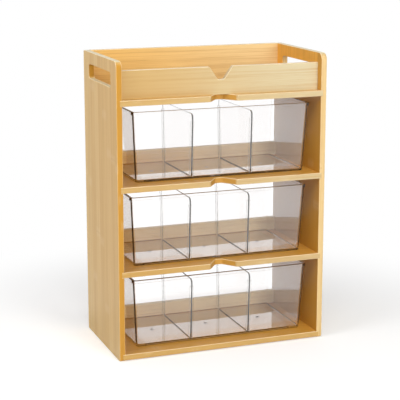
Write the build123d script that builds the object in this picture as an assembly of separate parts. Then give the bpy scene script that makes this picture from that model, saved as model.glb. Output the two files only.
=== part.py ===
from build123d import *
import math
import os

# A bamboo rack with an open tray on top and three bays below. Each bay holds a clear moulded bin
# that slides out to the front, and two loose divider plates split each bin in three.
#
# Millimetres, +Z up. X runs from left to right, -Y is the front. The origin is at the middle of the
# rack's footprint, on the surface that it stands on.

# ---- Driving sizes: the rack ----
rack_width = 300.0
rack_depth = 156.0
panel_thickness = 8.0
board_thickness = 8.0
dado_depth = 3.0  # how far a board's end goes into its groove in a side panel
base_lift = 1.0  # the rack stands on its side panels, with the base board this far up
bay_clear_height = 107.0
tray_depth = 51.0  # from the tray floor to the tops of the panels and the back rail
edge_easing = 0.8  # radius of the sanded edges

panel_top_front_radius = 10.0
panel_corner_radius = 3.0

slot_length = 104.0
slot_height = 20.0
slot_corner_radius = 4.0
slot_below_top = 16.5  # from the panel's top to the slot's upper edge

rail_thickness = 8.0
fence_thickness = 8.0
fence_height = 37.5
fence_setback = 12.0  # from the rack's front to the fence's front face
strip_thickness = 8.0
strip_height = 20.0

board_notch_mouth = 39.0
board_notch_flat = 9.5
board_notch_depth = 20.5
fence_notch_mouth = 33.5
fence_notch_flat = 8.5
fence_notch_depth = 17.5
notch_inner_radius = 3.5
notch_mouth_radius = 2.0

dowel_diameter = 5.0
dowel_in_panel = 5.0
dowel_in_board = 15.0
dowel_hole_spare = 1.0  # room for glue beyond the dowel's end
dowel_end_chamfer = 0.6
dowel_edge_distance = 10.0  # from a rail's edge to its nearest dowel's axis
dowel_least_spacing = 12.0  # a rail too low for two dowels this far apart has one in its middle

# ---- Driving sizes: the bins and their dividers ----
bin_side_clearance = 13.0  # from the rim to a side panel, with the bin in the middle of its bay
bin_head_clearance = 11.0
bin_front_setback = 18.5  # from the rack's front to the rim's front
bin_back_clearance = 5.5  # from the rim's back to the rack's back
bin_rest_shifts = (6.0, 2.5, 4.5)  # how far right of the middle each loose bin stands, from the top down
wall_draft = 3.0  # degrees
wall_thickness = 2.4
floor_thickness = 2.5
bin_corner_radius = 5.0
rim_height = 4.0
rim_projection = 1.5
rim_rounding = 0.6
bin_floor_rounding = 1.5

foot_width_side = 14.0  # the flat foot ring round the floor's sunken underside
foot_width_front = 7.0
foot_height = 0.8
foot_corner_radius = 5.0
gate_mark_diameter = 6.0
gate_mark_height = 0.4

compartment_count = 3
divider_spacing = 86.0
divider_thickness = 2.0
divider_below_rim = 7.0
divider_corner_radius = 6.0
divider_foot_radius = 3.0
divider_clearance = 0.2
guide_rib_width = 1.5
guide_rib_depth = 2.2
guide_rib_below_divider_top = 10.0

# ---- Sizes that follow ----
BAY_NAMES = ("upper", "middle", "lower")
bay_width = rack_width - 2 * panel_thickness
board_length = bay_width + 2 * dado_depth
bay_pitch = bay_clear_height + board_thickness
rack_front = -rack_depth / 2
rack_back = rack_depth / 2
base_top = base_lift + board_thickness
tray_floor_top = base_top + len(BAY_NAMES) * bay_pitch
rack_height = tray_floor_top + tray_depth

bin_height = bay_clear_height - bin_head_clearance
rim_width = bay_width - 2 * bin_side_clearance
rim_depth = rack_depth - bin_front_setback - bin_back_clearance
bin_middle_y = rack_front + bin_front_setback + rim_depth / 2
divider_height = bin_height - divider_below_rim
guide_rib_top = divider_height - guide_rib_below_divider_top
cut_margin = 2.0  # how far a cutting block runs past the face that it opens


def bay_floor(bay):
    """Height of the board that a bay's bin stands on, with bay 0 at the top."""
    return base_top + (len(BAY_NAMES) - 1 - bay) * bay_pitch


def block(x_span, y_span, z_span):
    """A box between the given limits."""
    spans = (x_span, y_span, z_span)
    sizes = [high - low for low, high in spans]
    middle = [(low + high) / 2 for low, high in spans]
    return Pos(*middle) * Box(*sizes)


def rounded_face(*corners):
    """A flat face through (x, y, radius) corners, each rounded by its own radius."""
    face = make_face(Polyline(*[(x, y) for x, y, radius in corners], close=True))
    for x, y, radius in corners:
        if radius > 0:
            face = fillet(face.vertices().sort_by_distance((x, y))[0], radius)
    return face


def notched_outline(width, height, mouth, flat, depth):
    """A rectangle on the XY plane with a rounded trapezoid notch in the middle of its lower side.

    The lower side lies on Y = 0 and the rectangle is centred on X = 0.
    """
    return rounded_face(
        (-width / 2, 0, 0),
        (-mouth / 2, 0, notch_mouth_radius),
        (-flat / 2, depth, notch_inner_radius),
        (flat / 2, depth, notch_inner_radius),
        (mouth / 2, 0, notch_mouth_radius),
        (width / 2, 0, 0),
        (width / 2, height, 0),
        (-width / 2, height, 0),
    )


# ---- Dowels ----
def dowel_heights(bottom, height):
    """Heights of the dowels in the end of an upright rail: two in a tall rail, one in a low one."""
    if height - 2 * dowel_edge_distance < dowel_least_spacing:
        return [bottom + height / 2]
    return [bottom + dowel_edge_distance, bottom + height - dowel_edge_distance]


def dowel_places(middle_y, heights):
    """(side, y, z) of each dowel, where side is -1 for the left panel and 1 for the right."""
    return [(side, middle_y, z) for side in (-1, 1) for z in heights]


def along_x(radius, x_start, x_end, y, z):
    """A round bar parallel to X."""
    length = abs(x_end - x_start)
    return Pos((x_start + x_end) / 2, y, z) * Rot(0, 90, 0) * Cylinder(radius, length)


def dowel(side, y, z):
    inner_face = side * bay_width / 2
    bar = along_x(
        dowel_diameter / 2, inner_face + side * dowel_in_panel, inner_face - side * dowel_in_board, y, z
    )
    return chamfer(bar.edges().filter_by(GeomType.CIRCLE), dowel_end_chamfer)


def panel_dowel_hole(side, y, z):
    inner_face = side * bay_width / 2
    return along_x(
        dowel_diameter / 2, inner_face + side * dowel_in_panel, inner_face - side * cut_margin, y, z
    )


def rail_dowel_hole(side, y, z):
    inner_face = side * bay_width / 2
    bottom = inner_face - side * (dowel_in_board + dowel_hole_spare)
    return along_x(dowel_diameter / 2, inner_face + side * cut_margin, bottom, y, z)


rail_middle_y = rack_back - rail_thickness / 2
fence_front = rack_front + fence_setback
fence_middle_y = fence_front + fence_thickness / 2
strip_middle_y = rack_back - strip_thickness / 2

rail_dowels = dowel_places(rail_middle_y, dowel_heights(tray_floor_top, tray_depth))
fence_dowels = dowel_places(fence_middle_y, dowel_heights(tray_floor_top, fence_height))
strip_dowels = [
    dowel_places(strip_middle_y, dowel_heights(bay_floor(bay), strip_height))
    for bay in range(len(BAY_NAMES))
]
panel_dowels = rail_dowels + fence_dowels + sum(strip_dowels, [])


# ---- Rack ----
def board_bottoms():
    """Undersides of the four boards, from the base up."""
    return [base_lift + level * bay_pitch for level in range(len(BAY_NAMES) + 1)]


def side_panel(side):
    """A full-height panel with a hand slot, eased edges, and grooves for the four boards' ends."""
    face = rounded_face(
        (rack_front, 0, panel_corner_radius),
        (rack_back, 0, panel_corner_radius),
        (rack_back, rack_height, panel_corner_radius),
        (rack_front, rack_height, panel_top_front_radius),
    )
    slot_middle = rack_height - slot_below_top - slot_height / 2
    face -= Pos(0, slot_middle) * RectangleRounded(slot_length, slot_height, slot_corner_radius)

    # The outline's X becomes the rack's Y and its Y becomes the rack's Z.
    outer_face = side * rack_width / 2
    upright = Plane(origin=(outer_face, 0, 0), x_dir=(0, 1, 0), z_dir=(1, 0, 0))
    panel = extrude(upright * face, amount=-side * panel_thickness)
    panel = fillet(panel.faces().filter_by(Axis.X).edges(), edge_easing)

    inner_face = side * bay_width / 2
    groove_x = sorted((inner_face + side * dado_depth, inner_face - side * cut_margin))
    groove_y = (rack_front - cut_margin, rack_back + cut_margin)
    for bottom in board_bottoms():
        panel -= block(groove_x, groove_y, (bottom, bottom + board_thickness))
    for place in panel_dowels:
        if place[0] == side:
            panel -= panel_dowel_hole(*place)
    return panel


def front_edges(board):
    """The long edges round the top and the underside of a board's front, with its notch's edges."""
    flat_faces = board.faces().filter_by(Axis.Z).edges()
    ends_and_back = [
        edge
        for edge in flat_faces
        if edge.center().Y > rack_back - edge_easing
        or abs(edge.center().X) > board_length / 2 - edge_easing
    ]
    return [edge for edge in flat_faces if edge not in ends_and_back]


def plain_board(bottom):
    """A board whose ends are housed in both side panels."""
    board = block(
        (-board_length / 2, board_length / 2),
        (rack_front, rack_back),
        (bottom, bottom + board_thickness),
    )
    return fillet(front_edges(board), edge_easing)


def notched_board(bottom):
    """A housed board with a finger notch in the middle of its front edge."""
    outline = notched_outline(
        board_length, rack_depth, board_notch_mouth, board_notch_flat, board_notch_depth
    )
    board = extrude(Pos(0, rack_front, bottom) * outline, amount=board_thickness)
    return fillet(front_edges(board), edge_easing)


def rail(height, thickness, middle_y, bottom, places):
    """An upright rail between the side panels, with eased upper edges and dowel holes in its ends."""
    bar = block(
        (-bay_width / 2, bay_width / 2),
        (middle_y - thickness / 2, middle_y + thickness / 2),
        (bottom, bottom + height),
    )
    upper = bar.faces().sort_by(Axis.Z)[-1].edges().filter_by(Axis.X)
    bar = fillet(upper, edge_easing)
    for place in places:
        bar -= rail_dowel_hole(*place)
    return bar


def tray_fence():
    """The tray's low front, with a finger notch in its upper edge."""
    outline = notched_outline(
        bay_width, fence_height, fence_notch_mouth, fence_notch_flat, fence_notch_depth
    )
    # The outline's notched side is turned up: its Y runs down from the fence's top.
    upright = Plane(
        origin=(0, fence_front, tray_floor_top + fence_height), x_dir=(-1, 0, 0), z_dir=(0, -1, 0)
    )
    fence = extrude(upright * outline, amount=-fence_thickness)
    face_edges = fence.faces().filter_by(Axis.Y).edges()
    upper = [
        edge
        for edge in face_edges
        if edge.center().Z > tray_floor_top + edge_easing
        and abs(edge.center().X) < bay_width / 2 - edge_easing
    ]
    fence = fillet(upper, edge_easing)
    for place in fence_dowels:
        fence -= rail_dowel_hole(*place)
    return fence


# ---- Bins ----
def wall_spread(height):
    """How much further out a drafted wall stands at a height than at the bin's bottom."""
    return height * math.tan(math.radians(wall_draft))


bottom_width = rim_width - 2 * rim_projection - 2 * wall_spread(bin_height)
bottom_depth = rim_depth - 2 * rim_projection - 2 * wall_spread(bin_height)


def drafted_block(low, high, inset):
    """A solid between two heights whose sides follow the bin's drafted walls, moved in by inset."""
    half_width = bottom_width / 2 + wall_spread(low) - inset
    half_depth = bottom_depth / 2 + wall_spread(low) - inset
    straight = block((-half_width, half_width), (-half_depth, half_depth), (low, high))
    sides = straight.faces().filter_by(Axis.Z, reverse=True)
    drafted = draft(sides, Plane.XY.offset(low), -wall_draft)
    upright_edges = [edge for edge in drafted.edges() if low < edge.center().Z < high]
    return fillet(upright_edges, bin_corner_radius - inset)


def wall_face(height):
    """Half the bin's inside depth at a height."""
    return bottom_depth / 2 + wall_spread(height) - wall_thickness


def divider_places():
    """X of each divider in a bin."""
    count = compartment_count - 1
    return [(index - (count - 1) / 2) * divider_spacing for index in range(count)]


def compartment_middles():
    """X of the middle of each compartment's floor."""
    inner_half = bottom_width / 2 - wall_thickness
    limits = [-inner_half, *divider_places(), inner_half]
    return [(low + high) / 2 for low, high in zip(limits, limits[1:])]


def guide_rib(x, end):
    """An upright rib on the inside of the front (end -1) or back (end 1) wall."""
    low, high = floor_thickness / 2, guide_rib_top
    root = wall_thickness / 2  # how far the rib's root runs into the wall
    corners = [
        (end * (wall_face(low) + root), low),
        (end * (wall_face(high) + root), high),
        (end * (wall_face(high) - guide_rib_depth), high),
        (end * (wall_face(low) - guide_rib_depth), low),
    ]
    profile = Plane.YZ * make_face(Polyline(*corners, close=True))
    return Pos(x - guide_rib_width / 2, 0, 0) * extrude(profile, amount=guide_rib_width)


def guide_ribs():
    """Two pairs of ribs for each divider, one pair at the front and one at the back."""
    rib_offset = divider_thickness / 2 + divider_clearance + guide_rib_width / 2
    return [
        guide_rib(x + side * rib_offset, end)
        for x in divider_places()
        for side in (-1, 1)
        for end in (-1, 1)
    ]


def moulded_bin():
    """A clear bin on the origin: drafted walls, a thick rim, guide ribs and a sunken underside."""
    outside = drafted_block(0, bin_height, 0)
    outside = fillet(outside.faces().sort_by(Axis.Z)[0].edges(), bin_floor_rounding)
    rim = drafted_block(bin_height - rim_height, bin_height, -rim_projection)
    cavity = drafted_block(floor_thickness, bin_height, wall_thickness)
    cavity = fillet(cavity.faces().sort_by(Axis.Z)[0].edges(), bin_floor_rounding)
    above = Pos(0, 0, bin_height) * extrude(
        Rectangle(rim_width, rim_depth), amount=cut_margin
    )
    tub = outside + rim - cavity - above
    tub += guide_ribs()

    underside = RectangleRounded(
        bottom_width - 2 * foot_width_side, bottom_depth - 2 * foot_width_front, foot_corner_radius
    )
    tub -= extrude(underside, amount=foot_height)
    for x in compartment_middles():
        mark = Pos(x, 0, foot_height - gate_mark_height / 2) * Cylinder(
            gate_mark_diameter / 2, gate_mark_height
        )
        tub += mark
    rim_loops = tub.faces().sort_by(Axis.Z)[-1].edges()
    return fillet(rim_loops, rim_rounding)


def divider():
    """A loose plate on the origin that drops between the guide ribs and stands on the bin's floor."""
    low, high = floor_thickness, divider_height
    half_low, half_high = wall_face(low) - divider_clearance, wall_face(high) - divider_clearance
    face = rounded_face(
        (-half_low, low, divider_foot_radius),
        (half_low, low, divider_foot_radius),
        (half_high, high, divider_corner_radius),
        (-half_high, high, divider_corner_radius),
    )
    return extrude(Plane.YZ.offset(-divider_thickness / 2) * face, amount=divider_thickness)


# ---- The parts and their names ----
parts = {
    "left_side_panel": side_panel(-1),
    "right_side_panel": side_panel(1),
}

base_bottom, lower_bottom, upper_bottom, tray_bottom = board_bottoms()
parts["base_board"] = plain_board(base_bottom)
parts["lower_shelf"] = notched_board(lower_bottom)
parts["upper_shelf"] = notched_board(upper_bottom)
parts["tray_floor"] = notched_board(tray_bottom)

parts["tray_back_rail"] = rail(tray_depth, rail_thickness, rail_middle_y, tray_floor_top, rail_dowels)
parts["tray_front_fence"] = tray_fence()
parts["tray_rail_dowels"] = Compound(children=[dowel(*place) for place in rail_dowels])
parts["tray_fence_dowels"] = Compound(children=[dowel(*place) for place in fence_dowels])
parts["back_strip_dowels"] = Compound(children=[dowel(*place) for place in sum(strip_dowels, [])])

bin_shape = moulded_bin()
divider_shape = divider()
DIVIDER_SIDES = ("left", "right")
for bay, bay_name in enumerate(BAY_NAMES):
    floor = bay_floor(bay)
    parts[f"{bay_name}_back_strip"] = rail(
        strip_height, strip_thickness, strip_middle_y, floor, strip_dowels[bay]
    )
    bin_place = Pos(bin_rest_shifts[bay], bin_middle_y, floor)
    parts[f"{bay_name}_bin"] = bin_place * bin_shape
    for side_name, x in zip(DIVIDER_SIDES, divider_places()):
        parts[f"{bay_name}_{side_name}_divider"] = bin_place * Pos(x, 0, 0) * divider_shape

os.makedirs("parts", exist_ok=True)
for name, part in parts.items():
    export_step(part, f"parts/{name}.step")
    print(name, "volume", round(part.volume), "size", part.bounding_box().size)
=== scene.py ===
import math

import bpy
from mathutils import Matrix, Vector


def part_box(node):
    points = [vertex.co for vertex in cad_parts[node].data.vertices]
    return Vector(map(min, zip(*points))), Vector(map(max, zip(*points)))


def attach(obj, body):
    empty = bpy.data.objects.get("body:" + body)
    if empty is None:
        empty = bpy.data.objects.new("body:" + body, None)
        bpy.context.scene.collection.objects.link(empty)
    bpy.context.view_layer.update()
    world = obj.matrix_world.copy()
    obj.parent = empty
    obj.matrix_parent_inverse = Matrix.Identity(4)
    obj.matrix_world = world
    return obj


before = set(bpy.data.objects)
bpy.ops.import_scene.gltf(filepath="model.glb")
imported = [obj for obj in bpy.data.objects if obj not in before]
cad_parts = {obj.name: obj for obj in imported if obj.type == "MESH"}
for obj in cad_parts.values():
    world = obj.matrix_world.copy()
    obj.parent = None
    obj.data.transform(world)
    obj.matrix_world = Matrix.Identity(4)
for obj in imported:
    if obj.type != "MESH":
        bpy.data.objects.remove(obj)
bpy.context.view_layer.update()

bl_info = {
    "name": "Tea Bag Rack Finish",
    "version": (1, 0, 0),
    "blender": (4, 5, 0),
    "location": "3D View > Sidebar > Tea Rack",
    "description": "Bamboo boards, clear bins and a pale studio for a tea bag rack",
    "category": "Object",
}

BAYS = ("upper", "middle", "lower")
SIDES = ("left", "right")

# Grain: how often it changes per metre, along the fibres and across them.
STREAKS = (3.5, 340.0)
DASHES = (30.0, 1500.0)
DRIFT = (3.0, 40.0)
DOWEL_GRAIN = (20.0, 900.0)
FIBRE_BUNDLES = 1150.0  # ends of fibre bundles per metre of a cut end

# Clear plastic
FLOW_MARKS = (9.0, 28.0)  # changes per metre along and across the flow
PLASTIC_DEPTH = (0.36, 0.25, 0.20, 1)
GATE_RIM = (0.75, 0.70, 0.70)
GATE_TURNS = 28
GATE_PROFILE = ((1.0, -0.4), (1.0, 0.25), (0.86, 0.62), (0.62, 0.86), (0.34, 0.96))  # radius, height

# Studio
FLOOR_RADIUS = 3.0
FLOOR_CORNERS = 96
FLOOR_DROP = 0.0002  # how far the floor lies under the rack's standing edges
PAPER = (0.86, 0.86, 0.86, 1)
PAPER_GLOW = 0.30
WHITE = 1.0
WHITE_THROUGH_PLASTIC = 1.14
GLOSS_IN_FRONT = 0.6
GLOSS_BEHIND = 1.35
LAMPS = (  # name, place, point that it faces, size, power in key lights
    ("key_light", (-0.35, -1.2, 1.5), (0.0, 0.0, 0.3), 1.1, 1.1),
    ("front_light", (0.35, -2.0, 0.72), (0.0, 0.0, 0.25), 0.8, 2.3),
    ("left_fill", (-1.5, -0.45, 1.3), (0.0, 0.0, 0.25), 1.2, 1.55),
)


# ---- Settings ----
class BambooSettings(bpy.types.PropertyGroup):
    pale: bpy.props.FloatVectorProperty(
        name="Pale Strip", description="Colour of the palest bamboo strips", subtype="COLOR", size=3,
        min=0, max=1, default=(0.76, 0.505, 0.185),
    )
    honey: bpy.props.FloatVectorProperty(
        name="Honey Strip", description="Colour of the darkest bamboo strips", subtype="COLOR", size=3,
        min=0, max=1, default=(0.68, 0.395, 0.105),
    )
    fibre: bpy.props.FloatVectorProperty(
        name="Fibre", description="Colour of the fibres that run along a strip", subtype="COLOR", size=3,
        min=0, max=1, default=(0.48, 0.225, 0.04),
    )
    # Cream also paints the paler, better lit end of boards, and the highlight on cut ends.
    cream: bpy.props.FloatVectorProperty(
        name="Cream", description="Colour of bleached boards, and of the bleached end of others",
        subtype="COLOR", size=3, min=0, max=1, default=(0.79, 0.68, 0.43),
    )
    # This amber is painted bounce light on the faces inside the rack, brightest in the tray.
    bounce_amber: bpy.props.FloatVectorProperty(
        name="Amber", description="Colour of the oiled upper faces", subtype="COLOR", size=3,
        min=0, max=1, default=(0.84, 0.42, 0.055),
    )
    # This deep amber is painted shade: on the walls of the bays, on some front edges, and on faces set back
    # from a board's front.
    shade_amber: bpy.props.FloatVectorProperty(
        name="Deep Amber", description="Colour of the oiled walls of the bays, and of some edges",
        subtype="COLOR", size=3, min=0, max=1, default=(0.57, 0.27, 0.025),
    )
    # Colour of sanded eased edges, which also serves as a painted highlight on them; the knot bands and the
    # dowels use it too.
    eased_and_highlit: bpy.props.FloatVectorProperty(
        name="Eased Edge", description="Colour where sanding has eased an edge", subtype="COLOR", size=3,
        min=0, max=1, default=(0.92, 0.77, 0.50),
    )
    strip_width: bpy.props.FloatProperty(
        name="Strip Width", description="Width of one glued bamboo strip", unit="LENGTH",
        min=0.003, max=0.06, default=0.019,
    )
    ply: bpy.props.FloatProperty(
        name="Ply", description="Thickness of one layer of strips", unit="LENGTH",
        min=0.001, max=0.01, default=0.0028,
    )
    knot_spacing: bpy.props.FloatProperty(
        name="Knot Spacing", description="Distance between the cane's knots along a strip", unit="LENGTH",
        min=0.05, max=0.6, default=0.27,
    )
    varnish: bpy.props.FloatProperty(
        name="Varnish", description="Weight of the clear varnish", subtype="FACTOR",
        min=0, max=1, default=0.06,
    )


class PlasticSettings(bpy.types.PropertyGroup):
    tint: bpy.props.FloatVectorProperty(
        name="Tint", description="Colour that one wall gives to light", subtype="COLOR", size=3,
        min=0, max=1, default=(0.998, 0.995, 0.996),
    )
    # Painted shade in the dividers' narrow edges and along them.
    plate_edge_shade: bpy.props.FloatVectorProperty(
        name="Plate Edge", description="Colour in the narrow edges of the divider plates", subtype="COLOR",
        size=3, min=0, max=1, default=(0.012, 0.007, 0.004),
    )
    ior: bpy.props.FloatProperty(
        name="Refraction", description="Index of refraction of the clear plastic",
        min=1, max=2, default=1.6,
    )
    clearness: bpy.props.FloatProperty(
        name="Clearness", description="How clear the plastic is; the rest of it is a faint milkiness",
        subtype="FACTOR", min=0, max=1, default=0.985,
    )
    # Along a bin's foot edge this colour is painted shade; in the gate marks it is the gates' own dark core.
    foot_shade_and_gate: bpy.props.FloatVectorProperty(
        name="Moulded Edge", description="Colour along a bin's foot edge and in its gate marks",
        subtype="COLOR", size=3, min=0, max=1, default=(0.17, 0.09, 0.045),
    )
    depth: bpy.props.FloatProperty(
        name="Depth", description="How fast the plastic darkens along a path inside it, per metre",
        min=0, default=12.0,
    )
    edge_band: bpy.props.FloatProperty(
        name="Edge Band", description="Width of the dark band along a divider's edges", unit="LENGTH",
        min=0, default=0.0014,
    )
    draft: bpy.props.FloatProperty(
        name="Draft", description="Slope of the bins' walls, sideways over height", min=0, default=0.0524,
    )
    gate_spacing: bpy.props.FloatProperty(
        name="Gate Spacing", description="Distance between a bin's gate marks", unit="LENGTH", default=0.0815,
    )
    gate_radius: bpy.props.FloatProperty(
        name="Gate Radius", description="Radius of a gate mark", unit="LENGTH", min=0, default=0.0028,
    )
    gate_height: bpy.props.FloatProperty(
        name="Gate Height", description="Height of a gate mark over the bin's floor", unit="LENGTH", min=0,
        default=0.0004,
    )
    bin_floor: bpy.props.FloatProperty(
        name="Bin Floor", description="Height of a bin's floor over its foot", unit="LENGTH", default=0.0025,
    )
    polish: bpy.props.FloatProperty(
        name="Polish", description="Roughness of the moulded surface", subtype="FACTOR",
        min=0, max=1, default=0.003,
    )


class StudioSettings(bpy.types.PropertyGroup):
    azimuth: bpy.props.FloatProperty(
        name="Azimuth", description="Camera's angle round the rack, to the left of its front",
        subtype="ANGLE", default=math.radians(20.46),
    )
    elevation: bpy.props.FloatProperty(
        name="Elevation", description="Camera's angle above the horizon", subtype="ANGLE",
        default=math.radians(12.03),
    )
    distance: bpy.props.FloatProperty(
        name="Distance", description="From the camera to its aim point", unit="LENGTH", default=1.7804,
    )
    aim: bpy.props.FloatVectorProperty(
        name="Aim", description="Point that the camera looks at", subtype="XYZ_LENGTH", size=3,
        default=(-0.00578, 0.0, 0.21874),
    )
    lens: bpy.props.FloatProperty(
        name="Lens", description="Focal length in millimetres", min=20, max=300, default=114.0,
    )
    frame_drop: bpy.props.FloatProperty(
        name="Frame Drop", description="How far the lens is shifted down, in frame widths", default=0.04,
    )
    ambient: bpy.props.FloatProperty(
        name="Ambient", description="Strength of the even light round the rack", min=0, default=0.20,
    )
    key_power: bpy.props.FloatProperty(
        name="Key Light", description="Power of the large soft lamp above the front", unit="POWER",
        min=0, default=9.0,
    )


# ---- Node trees ----
class Tree:
    """A node tree under construction, with short calls for the nodes that the finishes use."""

    def __init__(self, tree):
        self.tree = tree
        self.tree.nodes.clear()

    def add(self, kind, **settings):
        node = self.tree.nodes.new(kind)
        for name, value in settings.items():
            setattr(node, name, value)
        return node

    def feed(self, socket, value):
        """Links a socket to another node's output, or sets it to a plain value."""
        if isinstance(value, bpy.types.NodeSocket):
            self.tree.links.new(value, socket)
        elif value is not None:
            socket.default_value = value

    def math(self, operation, *values, clamp=False):
        node = self.add("ShaderNodeMath", operation=operation, use_clamp=clamp)
        for socket, value in zip(node.inputs, values):
            self.feed(socket, value)
        return node.outputs[0]

    def ease(self, value, low, high, to_low=0.0, to_high=1.0):
        """Maps a value smoothly from one range to another, and holds it beyond the ends."""
        node = self.add("ShaderNodeMapRange", interpolation_type="SMOOTHSTEP")
        for socket, given in zip(node.inputs, (value, low, high, to_low, to_high)):
            self.feed(socket, given)
        return node.outputs[0]

    def mix(self, factor, first, second, blend="MIX"):
        node = self.add("ShaderNodeMix", data_type="RGBA", blend_type=blend)
        for name, value in (("Factor_Float", factor), ("A_Color", first), ("B_Color", second)):
            socket = next(s for s in node.inputs if s.identifier == name)
            if name != "Factor_Float" and not isinstance(value, bpy.types.NodeSocket):
                value = (*value[:3], 1)
            self.feed(socket, value)
        return next(s for s in node.outputs if s.identifier == "Result_Color")

    def point(self, x, y, z):
        node = self.add("ShaderNodeCombineXYZ")
        for socket, value in zip(node.inputs, (x, y, z)):
            self.feed(socket, value)
        return node.outputs[0]

    def split(self, vector):
        node = self.add("ShaderNodeSeparateXYZ")
        self.feed(node.inputs[0], vector)
        return dict(zip("XYZ", node.outputs))

    def noise(self, vector, scale, detail=2.0, roughness=0.5):
        node = self.add("ShaderNodeTexNoise")
        self.feed(node.inputs["Vector"], vector)
        self.feed(node.inputs["Scale"], scale)
        self.feed(node.inputs["Detail"], detail)
        self.feed(node.inputs["Roughness"], roughness)
        return node.outputs["Fac"]

    def grain(self, position, scales, detail, roughness):
        """Noise at a position of three sockets, with its own scale along each of them."""
        stretched = (self.math("MULTIPLY", value, scale) for value, scale in zip(position, scales))
        return self.noise(self.point(*stretched), 1.0, detail, roughness)

    def reach(self, place):
        """Distance from the upright axis, of a place that is split in X, Y and Z."""
        squares = (self.math("POWER", place[axis], 2.0) for axis in "XY")
        return self.math("SQRT", self.math("ADD", *squares))

    def chance(self, vector):
        """A value from 0 to 1 that is the same wherever the vector is the same."""
        node = self.add("ShaderNodeTexWhiteNoise", noise_dimensions="3D")
        self.feed(node.inputs["Vector"], vector)
        return node.outputs["Value"]

    def bump(self, height, strength, distance):
        node = self.add("ShaderNodeBump")
        self.feed(node.inputs["Strength"], strength)
        self.feed(node.inputs["Distance"], distance)
        self.feed(node.inputs["Height"], height)
        return node.outputs[0]

    def shader(self, **sockets):
        node = self.add("ShaderNodeBsdfPrincipled")
        for name, value in sockets.items():
            self.feed(node.inputs[name.replace("_", " ")], value)
        return node.outputs[0]


class Finish(Tree):
    """A new material, with its output and its texture coordinates."""

    def __init__(self, name):
        self.material = bpy.data.materials.new(name)
        self.material.use_nodes = True
        super().__init__(self.material.node_tree)
        self.output = self.add("ShaderNodeOutputMaterial")
        self.place = self.add("ShaderNodeTexCoord")


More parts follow.
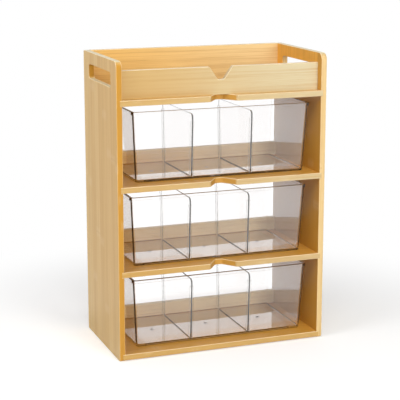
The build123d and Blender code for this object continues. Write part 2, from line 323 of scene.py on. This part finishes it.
# ---- Bamboo ----
def bamboo(
    name, along, across, through, seed, lift, cream,
    bounce_face=(0.0, 0.0), shade_edge=0.0, highlit_edge=0.0, tray=None, front=None, knots=0.22,
):
    """Glued bamboo strips that run along one axis, side by side across another, in plies.

    lift makes a whole board lighter or darker, and cream is how pale it is at its lower and upper
    end along its length, partly bleached bamboo and partly a painted light gradient. bounce_face is
    how much painted bounce light, as amber, its two faces take, the one toward lower coordinates
    first; shade_edge is how much painted shade its long edges take, and highlit_edge how much
    painted highlight. The bounce amber becomes painted shade outside of the corner (Y, Z) where the
    tray begins. Where a board's front is known, what is set back from it takes painted shade too.
    knots is how dark the cane's knots are.
    """
    look = bpy.context.scene.rack_bamboo
    finish = Finish(name)
    place = finish.split(finish.place.outputs["Object"])
    normal = finish.split(finish.place.outputs["Normal"])
    pale, honey, cream_tone, bounce_amber = (
        [tone * lift for tone in shade] for shade in (look.pale, look.honey, look.cream, look.bounce_amber)
    )
    # Painted light and shade: inner faces take the bright amber inside the tray and the shaded deep amber in
    # the bays.
    if tray:
        behind = finish.ease(place["Y"], tray[0], tray[0] + 0.004)
        above = finish.ease(place["Z"], tray[1] - 0.01, tray[1])
        bounce_amber = finish.mix(finish.math("MULTIPLY", behind, above), look.shade_amber, bounce_amber)

    # Each ply's strips are set off sideways from those of the ply below.
    layer = finish.math("FLOOR", finish.math("DIVIDE", place[through], look.ply))
    sideways = finish.math("MULTIPLY", finish.chance(finish.point(layer, seed, 0.5)), look.strip_width)
    in_strips = finish.math("DIVIDE", finish.math("ADD", place[across], sideways), look.strip_width)
    strip = finish.math("FLOOR", in_strips)
    in_strip = finish.math("FRACT", in_strips)
    lot = finish.chance(finish.point(strip, layer, seed))
    lot_along = finish.chance(finish.point(strip, layer, seed + 7.3))

    # Fibres: long fine streaks, and short darker dashes between them.
    shifted = finish.math("ADD", place[along], lot_along)
    position = (shifted, place[across], place[through])
    streaks = finish.grain(position, (STREAKS[0], STREAKS[1], STREAKS[1]), 5.0, 0.72)
    dashes = finish.grain(position, (DASHES[0], DASHES[1], DASHES[1]), 1.0, 0.5)
    drift = finish.grain(position, (DRIFT[0], DRIFT[1], DRIFT[1]), 2.0, 0.5)
    dash = finish.ease(dashes, 0.62, 0.78)
    streak = finish.ease(streaks, 0.42, 0.70)

    # Knots of the cane: a dark thin line across the strip, with a paler band beside it.
    wobble = finish.math(
        "MULTIPLY", finish.noise(finish.place.outputs["Object"], 160.0, 2.0, 0.5), 0.012
    )
    in_cane = finish.math(
        "FRACT", finish.math("ADD", finish.math("DIVIDE", shifted, look.knot_spacing), wobble)
    )
    off_knot = finish.math("ABSOLUTE", finish.math("SUBTRACT", in_cane, 0.5))
    knot_line = finish.ease(off_knot, 0.0015, 0.0075, 1.0, 0.0)
    knot_band = finish.ease(off_knot, 0.006, 0.035, 1.0, 0.0)

    # Glue lines between strips.
    off_middle = finish.math("ABSOLUTE", finish.math("SUBTRACT", in_strip, 0.5))
    glue = finish.ease(off_middle, 0.480, 0.498)

    # Cut ends show the fibre bundles as dots on cream, a painted highlight. Eased edges are sanded paler and
    # also carry a painted highlight, strongest where they face up.
    on_end = finish.ease(finish.math("ABSOLUTE", normal[along]), 0.80, 0.97)
    bundles = finish.add("ShaderNodeTexVoronoi", feature="F1")
    finish.feed(bundles.inputs["Vector"], finish.point(0.0, place[across], place[through]))
    finish.feed(bundles.inputs["Scale"], FIBRE_BUNDLES)
    dot = finish.ease(bundles.outputs["Distance"], 0.18, 0.42, 1.0, 0.0)
    off_face = finish.math("ABSOLUTE", normal[through])
    rounding = finish.math("MULTIPLY", off_face, finish.math("SUBTRACT", 1.0, off_face))
    # Painted highlight: the sanded edge roundings are paler, and more so where they face up toward the light.
    eased_and_highlit = finish.math(
        "MULTIPLY", finish.ease(rounding, 0.02, 0.18), finish.ease(normal["Z"], 0.0, 0.6, 0.3, 0.85)
    )

    tone = finish.math("ADD", finish.math("MULTIPLY", lot, 0.6), finish.math("MULTIPLY", drift, 0.55))
    colour = finish.mix(finish.ease(tone, 0.15, 0.95), pale, honey)
    # Paler toward one end along the board: partly bleached bamboo and partly a painted light gradient.
    bleached_and_lit = finish.ease(place[along], -0.15, 0.15, *cream)
    uneven = finish.math("MULTIPLY", finish.math("SUBTRACT", lot, 0.5), 0.12)
    bleached_and_lit = finish.math("ADD", bleached_and_lit, uneven, clamp=True)
    colour = finish.mix(bleached_and_lit, colour, cream_tone)
    # Painted bounce light: the faces that look into the rack take amber.
    lower_face = finish.ease(normal[through], -0.9, -0.5, bounce_face[0], 0.0)
    upper_face = finish.ease(normal[through], 0.5, 0.9, 0.0, bounce_face[1])
    colour = finish.mix(finish.math("ADD", lower_face, upper_face), colour, bounce_amber)
    # Painted shade on the long edges, and on upright faces set back from a board's front.
    on_edge = finish.ease(finish.math("ABSOLUTE", normal[across]), 0.6, 0.95, 0.0, shade_edge)
    recess_shade = 0.0
    if front is not None:
        upright = finish.ease(finish.math("ABSOLUTE", normal["Z"]), 0.3, 0.7, 1.0, 0.0)
        set_back = finish.ease(place["Y"], front + 0.0015, front + 0.003, 0.0, 0.85)
        recess_shade = finish.math("MULTIPLY", set_back, upright)
    colour = finish.mix(finish.math("MAXIMUM", on_edge, recess_shade), colour, look.shade_amber)
    colour = finish.mix(finish.math("MULTIPLY", streak, 0.40), colour, look.fibre)
    colour = finish.mix(finish.math("MULTIPLY", dash, 0.30), colour, look.fibre)
    colour = finish.mix(finish.math("MULTIPLY", knot_band, 0.45 * knots), colour, look.eased_and_highlit)
    knotted = finish.math("MULTIPLY", knot_line, finish.ease(lot_along, 0.45, 0.75, 0.0, knots))
    colour = finish.mix(knotted, colour, look.fibre)
    colour = finish.mix(finish.math("MULTIPLY", glue, 0.22), colour, look.fibre)
    # Painted highlight on the long edges, such as the top faces of the fence and the rail.
    highlit_long_edge = finish.ease(finish.math("ABSOLUTE", normal[across]), 0.6, 0.95, 0.0, highlit_edge)
    colour = finish.mix(highlit_long_edge, colour, look.eased_and_highlit)
    # Painted highlight: cut ends, which face up on the panels' tops, take cream under the fibre dots.
    highlit_end_colour = finish.mix(finish.math("MULTIPLY", dot, 0.45), cream_tone, honey)
    bare_end = finish.math("MULTIPLY", on_end, finish.math("SUBTRACT", 1.0, recess_shade))
    colour = finish.mix(bare_end, colour, highlit_end_colour)
    colour = finish.mix(eased_and_highlit, colour, look.eased_and_highlit)

    roughness = finish.math("ADD", 0.36, finish.math("MULTIPLY", streaks, 0.16))
    hollows = finish.math("ADD", glue, finish.math("MULTIPLY", dash, 0.4))
    height = finish.math("SUBTRACT", finish.math("MULTIPLY", streaks, 0.6), hollows)
    surface = finish.shader(
        Base_Color=colour,
        Roughness=roughness,
        Specular_IOR_Level=0.4,
        Normal=finish.bump(height, 0.25, 0.00012),
        Coat_Weight=look.varnish,
        Coat_Roughness=0.22,
    )
    finish.feed(finish.output.inputs["Surface"], surface)
    return finish.material


def dowel_stock():
    """Raw round dowel stock: straight pale grain along X with fine pores."""
    look = bpy.context.scene.rack_bamboo
    finish = Finish("dowel_stock")
    place = finish.split(finish.place.outputs["Object"])
    along, across = DOWEL_GRAIN
    grain = finish.grain((place["X"], place["Y"], place["Z"]), (along, across, across), 3.0, 0.6)
    colour = finish.mix(finish.ease(grain, 0.35, 0.70), look.eased_and_highlit, look.honey)
    surface = finish.shader(
        Base_Color=colour,
        Roughness=finish.math("ADD", 0.5, finish.math("MULTIPLY", grain, 0.25)),
        Normal=finish.bump(grain, 0.3, 0.0001),
    )
    finish.feed(finish.output.inputs["Surface"], surface)
    return finish.material


# ---- Clear plastic ----
def box_sizes(node):
    low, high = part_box(node)
    return high - low


def inner_plastic(name, flow_axis):
    """The start of a clear finish: its tree, and the faint marks of the plastic's flow."""
    finish = Finish(name)
    place = finish.split(finish.place.outputs["Object"])
    along, across = FLOW_MARKS
    scales = [along if axis == flow_axis else across for axis in "XYZ"]
    return finish, finish.grain([place[axis] for axis in "XYZ"], scales, 2.0, 0.5)


def flow_tint(finish, flow):
    """The plastic's tint, very slightly paler along its flow marks."""
    look = bpy.context.scene.rack_plastic
    return finish.mix(finish.ease(flow, 0.3, 0.7), look.tint, [min(1, c * 1.008) for c in look.tint])


def clear_surface(finish, flow, tint, gloss=0.0):
    """Ends a clear finish with its tint, and with the weight of a second glossy layer, from 0 to 1."""
    look = bpy.context.scene.rack_plastic
    smears = finish.noise(finish.place.outputs["Object"], 55.0, 5.0, 0.65)
    smeared = finish.math("MULTIPLY", finish.ease(smears, 0.55, 0.85), 0.02)
    glass = finish.shader(
        Base_Color=tint,
        Roughness=finish.math("ADD", look.polish, smeared),
        IOR=look.ior,
        Transmission_Weight=look.clearness,
        Coat_Weight=gloss,
        Coat_Roughness=0.01,
        Coat_IOR=look.ior,
        Normal=finish.bump(flow, 0.05, 0.0008),
    )
    # Long paths inside the plastic, as along a plate or round a corner, darken to brown.
    depth = finish.add("ShaderNodeVolumeAbsorption")
    finish.feed(depth.inputs["Color"], PLASTIC_DEPTH)
    finish.feed(depth.inputs["Density"], look.depth)
    finish.feed(finish.output.inputs["Volume"], depth.outputs[0])
    # Lamps and soft light pass straight through, so the boards under a bin stay lit.
    straight = finish.add("ShaderNodeBsdfTransparent")
    finish.feed(straight.inputs["Color"], (*look.tint, 1))
    rays = finish.add("ShaderNodeLightPath")
    unseen = finish.math("MAXIMUM", rays.outputs["Is Shadow Ray"], rays.outputs["Is Diffuse Ray"])
    both = finish.add("ShaderNodeMixShader")
    finish.feed(both.inputs[0], unseen)
    finish.feed(both.inputs[1], glass)
    finish.feed(both.inputs[2], straight.outputs[0])
    finish.feed(finish.output.inputs["Surface"], both.outputs[0])
    return finish.material


def bin_plastic():
    """Polished clear moulding, with a painted brown shade along its rounded foot edge."""
    look = bpy.context.scene.rack_plastic
    finish, flow = inner_plastic("clear_bin", "X")
    size = box_sizes("upper_bin")
    part = finish.split(finish.place.outputs["Generated"])
    normal = finish.split(finish.place.outputs["Normal"])
    upright = finish.math("ABSOLUTE", normal["Z"])
    rounded = finish.ease(finish.math("MULTIPLY", upright, finish.math("SUBTRACT", 1.0, upright)), 0.10, 0.22)
    near_foot = finish.ease(finish.math("MULTIPLY", part["Z"], size.z), 0.002, 0.0045, 1.0, 0.0)
    foot_shade = finish.math("MULTIPLY", rounded, near_foot)

    # Painted shade along the rounded foot edge.
    tint = finish.mix(foot_shade, flow_tint(finish, flow), look.foot_shade_and_gate)
    return clear_surface(finish, flow, tint, gloss=finish.ease(upright, 0.85, 0.97))


def gate_plastic():
    """The broken skin of a moulding gate: dark and rough in the middle, pale at its rim."""
    look = bpy.context.scene.rack_plastic
    finish = Finish("moulding_gate")
    place = finish.split(finish.place.outputs["Object"])
    torn = finish.noise(finish.place.outputs["Object"], 1800.0, 3.0, 0.6)
    ragged = finish.math("ADD", finish.reach(place), finish.math("MULTIPLY", torn, 0.0008))
    core = finish.ease(ragged, 0.0024, 0.0030, 1.0, 0.0)
    surface = finish.shader(
        Base_Color=finish.mix(core, GATE_RIM, look.foot_shade_and_gate),
        Roughness=finish.math("ADD", 0.3, finish.math("MULTIPLY", torn, 0.4)),
        Normal=finish.bump(torn, 0.4, 0.0001),
    )
    finish.feed(finish.output.inputs["Surface"], surface)
    return finish.material


def divider_plastic():
    """Clear sheet with painted shade in its narrow sawn edges and in a fine band along them."""
    look = bpy.context.scene.rack_plastic
    finish, flow = inner_plastic("clear_divider", "Z")
    size = box_sizes("upper_left_divider")
    part = finish.split(finish.place.outputs["Generated"])
    normal = finish.split(finish.place.outputs["Normal"])
    # Painted shade: the narrow edges, and a band along the sides and the foot, are tinted dark.
    narrow = finish.ease(finish.math("ABSOLUTE", normal["X"]), 0.3, 0.9, 1.0, 0.0)
    narrow = finish.math("MULTIPLY", narrow, finish.ease(normal["Z"], 0.3, 0.8, 1.0, 0.1))
    # The plate is narrower at its foot, because it follows the bin's drafted walls.
    half = finish.math(
        "ADD", size.y / 2 - size.z * look.draft, finish.math("MULTIPLY", part["Z"], size.z * look.draft)
    )
    off_middle = finish.math("ABSOLUTE", finish.math("SUBTRACT", part["Y"], 0.5))
    off_middle = finish.math("MULTIPLY", off_middle, size.y)
    to_side = finish.math("SUBTRACT", half, off_middle)
    to_foot = finish.math("MULTIPLY", part["Z"], size.z)
    to_edge = finish.math("MINIMUM", to_side, to_foot)
    band = finish.ease(to_edge, look.edge_band * 0.6, look.edge_band, 1.0, 0.0)
    # The edges are clearer towards the top, where they pick up the light from behind.
    fading = finish.ease(part["Z"], 0.4, 0.85, 1.0, 0.55)
    dark = finish.math("MULTIPLY", finish.math("MAXIMUM", narrow, band), fading)
    return clear_surface(finish, flow, finish.mix(dark, flow_tint(finish, flow), look.plate_edge_shade))


def dress(node, material):
    """Puts a material on every slot of a node of the frame."""
    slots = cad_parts[node].data.materials
    if not slots:
        slots.append(material)
    for index in range(len(slots)):
        slots[index] = material


# ---- Operators ----
class RACK_OT_side_panels(bpy.types.Operator):
    """Finish the two side panels with upright bamboo strips"""

    bl_idname = "rack.side_panels"
    bl_label = "Side Panels"

    def execute(self, context):
        tray = (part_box("tray_front_fence")[0].y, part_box("tray_floor")[1].z)
        # The inner faces take painted bounce light and shade, and the left panel's front edge painted shade.
        left = bamboo(
            "bamboo_left_panel", "Z", "Y", "X", 3.1, lift=0.99, cream=(0.5, 0.0),
            bounce_face=(0.0, 0.95), shade_edge=0.95, tray=tray,
        )
        right = bamboo(
            "bamboo_right_panel", "Z", "Y", "X", 4.1, lift=1.05, cream=(0.35, 0.35),
            bounce_face=(0.95, 0.0), tray=tray,
        )
        dress("left_side_panel", left)
        dress("right_side_panel", right)
        return {"FINISHED"}


class RACK_OT_shelves(bpy.types.Operator):
    """Finish the four boards with bamboo strips from side to side"""

    bl_idname = "rack.shelves"
    bl_label = "Boards"

    def execute(self, context):
        # Each row: node, paleness at each end, painted bounce amber on the top face, painted shade on the
        # front edge.
        for seed, (node, cream, bounce_top, shade_front) in enumerate(
            (
                ("tray_floor", (0.1, 0.7), 0.5, 0.0),
                ("upper_shelf", (0.1, 0.6), 0.95, 0.0),
                ("lower_shelf", (0.0, 0.5), 0.95, 0.15),
                ("base_board", (0.0, 0.1), 0.95, 0.2),
            )
        ):
            board = bamboo(
                f"bamboo_{node}", "X", "Y", "Z", 11.7 + seed, lift=0.84, cream=cream,
                bounce_face=(0.6, bounce_top), shade_edge=shade_front, front=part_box(node)[0].y,
            )
            dress(node, board)
        return {"FINISHED"}


class RACK_OT_tray(bpy.types.Operator):
    """Finish the tray's fence and back rail"""

    bl_idname = "rack.tray"
    bl_label = "Tray Rails"

    def execute(self, context):
        # The rail's higher lift is painted light that makes it brighter than the fence; both take a painted
        # highlight on their top faces.
        fence = bamboo(
            "bamboo_fence", "X", "Z", "Y", 23.9, lift=0.84, cream=(0.15, 0.95), highlit_edge=0.7, knots=0.0
        )
        rail = bamboo(
            "bamboo_rail", "X", "Z", "Y", 24.9, lift=1.18, cream=(0.0, 0.5), highlit_edge=0.5, knots=0.0
        )
        dress("tray_front_fence", fence)
        dress("tray_back_rail", rail)
        return {"FINISHED"}


class RACK_OT_back_strips(bpy.types.Operator):
    """Finish the low strips at the back of the bays"""

    bl_idname = "rack.back_strips"
    bl_label = "Back Strips"

    def execute(self, context):
        for seed, bay in enumerate(BAYS):
            strip = bamboo(
                f"bamboo_{bay}_strip", "X", "Z", "Y", 31.3 + seed, lift=1.22, cream=(0.2 * seed, 0.9)
            )
            dress(f"{bay}_back_strip", strip)
        return {"FINISHED"}


class RACK_OT_dowels(bpy.types.Operator):
    """Finish the hidden dowels as raw wood"""

    bl_idname = "rack.dowels"
    bl_label = "Dowels"

    def execute(self, context):
        stock = dowel_stock()
        for node in ("tray_rail_dowels", "tray_fence_dowels", "back_strip_dowels"):
            dress(node, stock)
        return {"FINISHED"}


class RACK_OT_bins(bpy.types.Operator):
    """Finish the three bins as clear moulded plastic"""

    bl_idname = "rack.bins"
    bl_label = "Bins"

    def execute(self, context):
        plastic = bin_plastic()
        for bay in BAYS:
            dress(f"{bay}_bin", plastic)
        return {"FINISHED"}


class RACK_OT_gates(bpy.types.Operator):
    """Add the small round moulding gates in the bins' floors"""

    bl_idname = "rack.gates"
    bl_label = "Moulding Gates"

    def execute(self, context):
        look = context.scene.rack_plastic
        mesh = self.dome(look.gate_radius, look.gate_height)
        mesh.materials.append(gate_plastic())
        for bay in BAYS:
            low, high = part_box(f"{bay}_bin")
            middle = (low + high) / 2
            for number, x in enumerate((-look.gate_spacing, 0.0, look.gate_spacing), 1):
                gate = bpy.data.objects.new(f"{bay}_gate_{number}", mesh)
                gate.location = (middle.x + x, middle.y, low.z + look.bin_floor)
                context.scene.collection.objects.link(gate)
                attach(gate, f"{bay}_drawer")
        return {"FINISHED"}

    def dome(self, radius, height):
        """A shallow dome on a floor, with its rim let in a little."""
        mesh = bpy.data.meshes.new("moulding_gate")
        turns = GATE_TURNS
        rings = GATE_PROFILE
        angles = [turn * math.tau / turns for turn in range(turns)]
        points = [
            (radius * out * math.cos(angle), radius * out * math.sin(angle), height * up)
            for out, up in rings
            for angle in angles
        ]
        faces = [
            (ring * turns + turn, ring * turns + (turn + 1) % turns,
             (ring + 1) * turns + (turn + 1) % turns, (ring + 1) * turns + turn)
            for ring in range(len(rings) - 1)
            for turn in range(turns)
        ]
        top = len(points)
        points.append((0.0, 0.0, height))
        last = (len(rings) - 1) * turns
        faces += [(last + turn, last + (turn + 1) % turns, top) for turn in range(turns)]
        faces.append(tuple(reversed(range(turns))))
        mesh.from_pydata(points, [], faces)
        for face in mesh.polygons:
            face.use_smooth = len(face.vertices) < 5
        return mesh


class RACK_OT_dividers(bpy.types.Operator):
    """Finish the six divider plates as clear plastic sheet"""

    bl_idname = "rack.dividers"
    bl_label = "Dividers"

    def execute(self, context):
        plastic = divider_plastic()
        for bay in BAYS:
            for side in SIDES:
                dress(f"{bay}_{side}_divider", plastic)
        return {"FINISHED"}


class RACK_OT_stage(bpy.types.Operator):
    """Set up the pale floor, the white surroundings, the lamps and the camera"""

    bl_idname = "rack.stage"
    bl_label = "Studio"

    def execute(self, context):
        studio = context.scene.rack_studio
        context.scene.view_settings.view_transform = "Standard"
        self.surroundings(context, studio)
        self.floor(context)
        self.lamps(context, studio)
        self.camera(context, studio)
        return {"FINISHED"}

    def surroundings(self, context, studio):
        world = bpy.data.worlds.new("studio_surroundings")
        world.use_nodes = True
        sky = Tree(world.node_tree)
        output = sky.add("ShaderNodeOutputWorld")
        rays = sky.add("ShaderNodeLightPath")
        toward = sky.split(sky.add("ShaderNodeTexCoord").outputs["Generated"])
        # Soft light comes mostly from above. Gloss sees a grey studio in front, and one a little
        # brighter than white behind and overhead.
        soft = sky.ease(toward["Z"], -0.3, 0.9, studio.ambient * 0.45, studio.ambient * 1.8)
        soft = sky.math("ADD", soft, sky.ease(toward["Y"], 0.2, 0.9, 0.0, studio.ambient * 1.2))
        behind = sky.math("MAXIMUM", sky.ease(toward["Y"], -0.3, 0.3), sky.ease(toward["Z"], 0.45, 0.8))
        gloss = sky.ease(behind, 0.0, 1.0, GLOSS_IN_FRONT, GLOSS_BEHIND)
        by_gloss = sky.math("MAXIMUM", rays.outputs["Is Glossy Ray"], rays.outputs["Is Transmission Ray"])
        strength = sky.math("ADD", soft, sky.math("MULTIPLY", by_gloss, sky.math("SUBTRACT", gloss, soft)))
        even = sky.add("ShaderNodeBackground")
        sky.feed(even.inputs["Strength"], strength)
        white = sky.add("ShaderNodeBackground")
        sky.feed(white.inputs["Color"], (1, 1, 1, 1))
        sky.feed(white.inputs["Strength"], white_strength(sky, rays))
        both = sky.add("ShaderNodeMixShader")
        sky.feed(both.inputs[0], seen_directly(sky, rays))
        sky.feed(both.inputs[1], even.outputs[0])
        sky.feed(both.inputs[2], white.outputs[0])
        sky.feed(output.inputs["Surface"], both.outputs[0])
        context.scene.world = world

    def floor(self, context):
        mesh = bpy.data.meshes.new("studio_floor")
        angles = [turn * math.tau / FLOOR_CORNERS for turn in range(FLOOR_CORNERS)]
        ring = [
            (FLOOR_RADIUS * math.cos(angle), FLOOR_RADIUS * math.sin(angle), -FLOOR_DROP) for angle in angles
        ]
        mesh.from_pydata(ring, [], [tuple(range(FLOOR_CORNERS))])
        floor = bpy.data.objects.new("studio_floor", mesh)
        context.scene.collection.objects.link(floor)
        finish = Finish("studio_floor")
        rays = finish.add("ShaderNodeLightPath")
        seen = seen_directly(finish, rays)
        paper = finish.shader(Base_Color=PAPER, Roughness=0.9, Specular_IOR_Level=0.1)
        place = finish.split(finish.place.outputs["Object"])
        # White takes over from the lit paper away from the rack, so the shadow stays on the paper.
        away = finish.math("MULTIPLY", seen, finish.ease(finish.reach(place), 0.20, 0.55))
        by_gloss = finish.math("MAXIMUM", rays.outputs["Is Glossy Ray"], rays.outputs["Is Transmission Ray"])
        clear_of_rack = finish.ease(finish.math("ABSOLUTE", place["Y"]), 0.10, 0.20)
        away = finish.math("MAXIMUM", away, finish.math("MULTIPLY", by_gloss, clear_of_rack))
        glow = finish.add("ShaderNodeEmission")
        finish.feed(glow.inputs["Strength"], finish.math("MULTIPLY", seen, PAPER_GLOW))
        lit = finish.add("ShaderNodeAddShader")
        finish.feed(lit.inputs[0], paper)
        finish.feed(lit.inputs[1], glow.outputs[0])
        white = finish.add("ShaderNodeEmission")
        finish.feed(white.inputs["Strength"], white_strength(finish, rays))
        both = finish.add("ShaderNodeMixShader")
        finish.feed(both.inputs[0], away)
        finish.feed(both.inputs[1], lit.outputs[0])
        finish.feed(both.inputs[2], white.outputs[0])
        finish.feed(finish.output.inputs["Surface"], both.outputs[0])
        mesh.materials.append(finish.material)

    def lamps(self, context, studio):
        for name, spot, target, size, share in LAMPS:
            self.lamp(context, name, spot, target, size, studio.key_power * share)

    def lamp(self, context, name, spot, target, size, power):
        light = bpy.data.lights.new(name, "AREA")
        light.shape = "DISK"
        light.size = size
        light.energy = power
        lamp = bpy.data.objects.new(name, light)
        lamp.location = spot
        aim = Vector(target) - Vector(spot)
        lamp.rotation_euler = aim.to_track_quat("-Z", "Y").to_euler()
        lamp.visible_glossy = False
        lamp.visible_transmission = False
        context.scene.collection.objects.link(lamp)

    def camera(self, context, studio):
        data = bpy.data.cameras.new("photo_camera")
        data.lens = studio.lens
        data.sensor_width = 36.0
        data.shift_y = -studio.frame_drop
        camera = bpy.data.objects.new("photo_camera", data)
        back = Vector(
            (
                -math.sin(studio.azimuth) * math.cos(studio.elevation),
                -math.cos(studio.azimuth) * math.cos(studio.elevation),
                math.sin(studio.elevation),
            )
        )
        camera.location = Vector(studio.aim) + back * studio.distance
        camera.rotation_euler = (-back).to_track_quat("-Z", "Y").to_euler()
        context.scene.collection.objects.link(camera)
        context.scene.camera = camera


def seen_directly(tree, rays):
    """1 for rays from the camera, also straight through clear plastic, and 0 for others."""
    straight = tree.math("LESS_THAN", rays.outputs["Glossy Depth"], 0.5)
    through = tree.math("MULTIPLY", rays.outputs["Is Transmission Ray"], straight)
    return tree.math("MAXIMUM", rays.outputs["Is Camera Ray"], through)


def white_strength(tree, rays):
    """White, a little stronger through clear plastic, which makes up for what its walls take."""
    return tree.ease(rays.outputs["Is Transmission Ray"], 0.0, 1.0, WHITE, WHITE_THROUGH_PLASTIC)


class RACK_PT_panel(bpy.types.Panel):
    """The rack's settings, and a button for each group of pieces"""

    bl_label = "Tea Rack"
    bl_idname = "RACK_PT_panel"
    bl_space_type = "VIEW_3D"
    bl_region_type = "UI"
    bl_category = "Tea Rack"

    def draw(self, context):
        layout = self.layout
        for title, settings in (
            ("Bamboo", context.scene.rack_bamboo),
            ("Clear Plastic", context.scene.rack_plastic),
            ("Studio", context.scene.rack_studio),
        ):
            box = layout.box()
            box.label(text=title)
            for name in settings.__annotations__:
                box.prop(settings, name)
        for operator in OPERATORS:
            layout.operator(operator.bl_idname)


SETTINGS = {
    "rack_bamboo": BambooSettings,
    "rack_plastic": PlasticSettings,
    "rack_studio": StudioSettings,
}
OPERATORS = (
    RACK_OT_side_panels,
    RACK_OT_shelves,
    RACK_OT_tray,
    RACK_OT_back_strips,
    RACK_OT_dowels,
    RACK_OT_bins,
    RACK_OT_gates,
    RACK_OT_dividers,
    RACK_OT_stage,
)


def register():
    for group in SETTINGS.values():
        bpy.utils.register_class(group)
    for name, group in SETTINGS.items():
        setattr(bpy.types.Scene, name, bpy.props.PointerProperty(type=group))
    for operator in OPERATORS:
        bpy.utils.register_class(operator)
    bpy.utils.register_class(RACK_PT_panel)


def unregister():
    bpy.utils.unregister_class(RACK_PT_panel)
    for operator in reversed(OPERATORS):
        bpy.utils.unregister_class(operator)
    for name in SETTINGS:
        delattr(bpy.types.Scene, name)
    for group in reversed(SETTINGS.values()):
        bpy.utils.unregister_class(group)


def main():
    register()
    for operator in OPERATORS:
        name = operator.bl_idname.split(".")[1]
        getattr(bpy.ops.rack, name)()


if __name__ == "__main__":
    main()
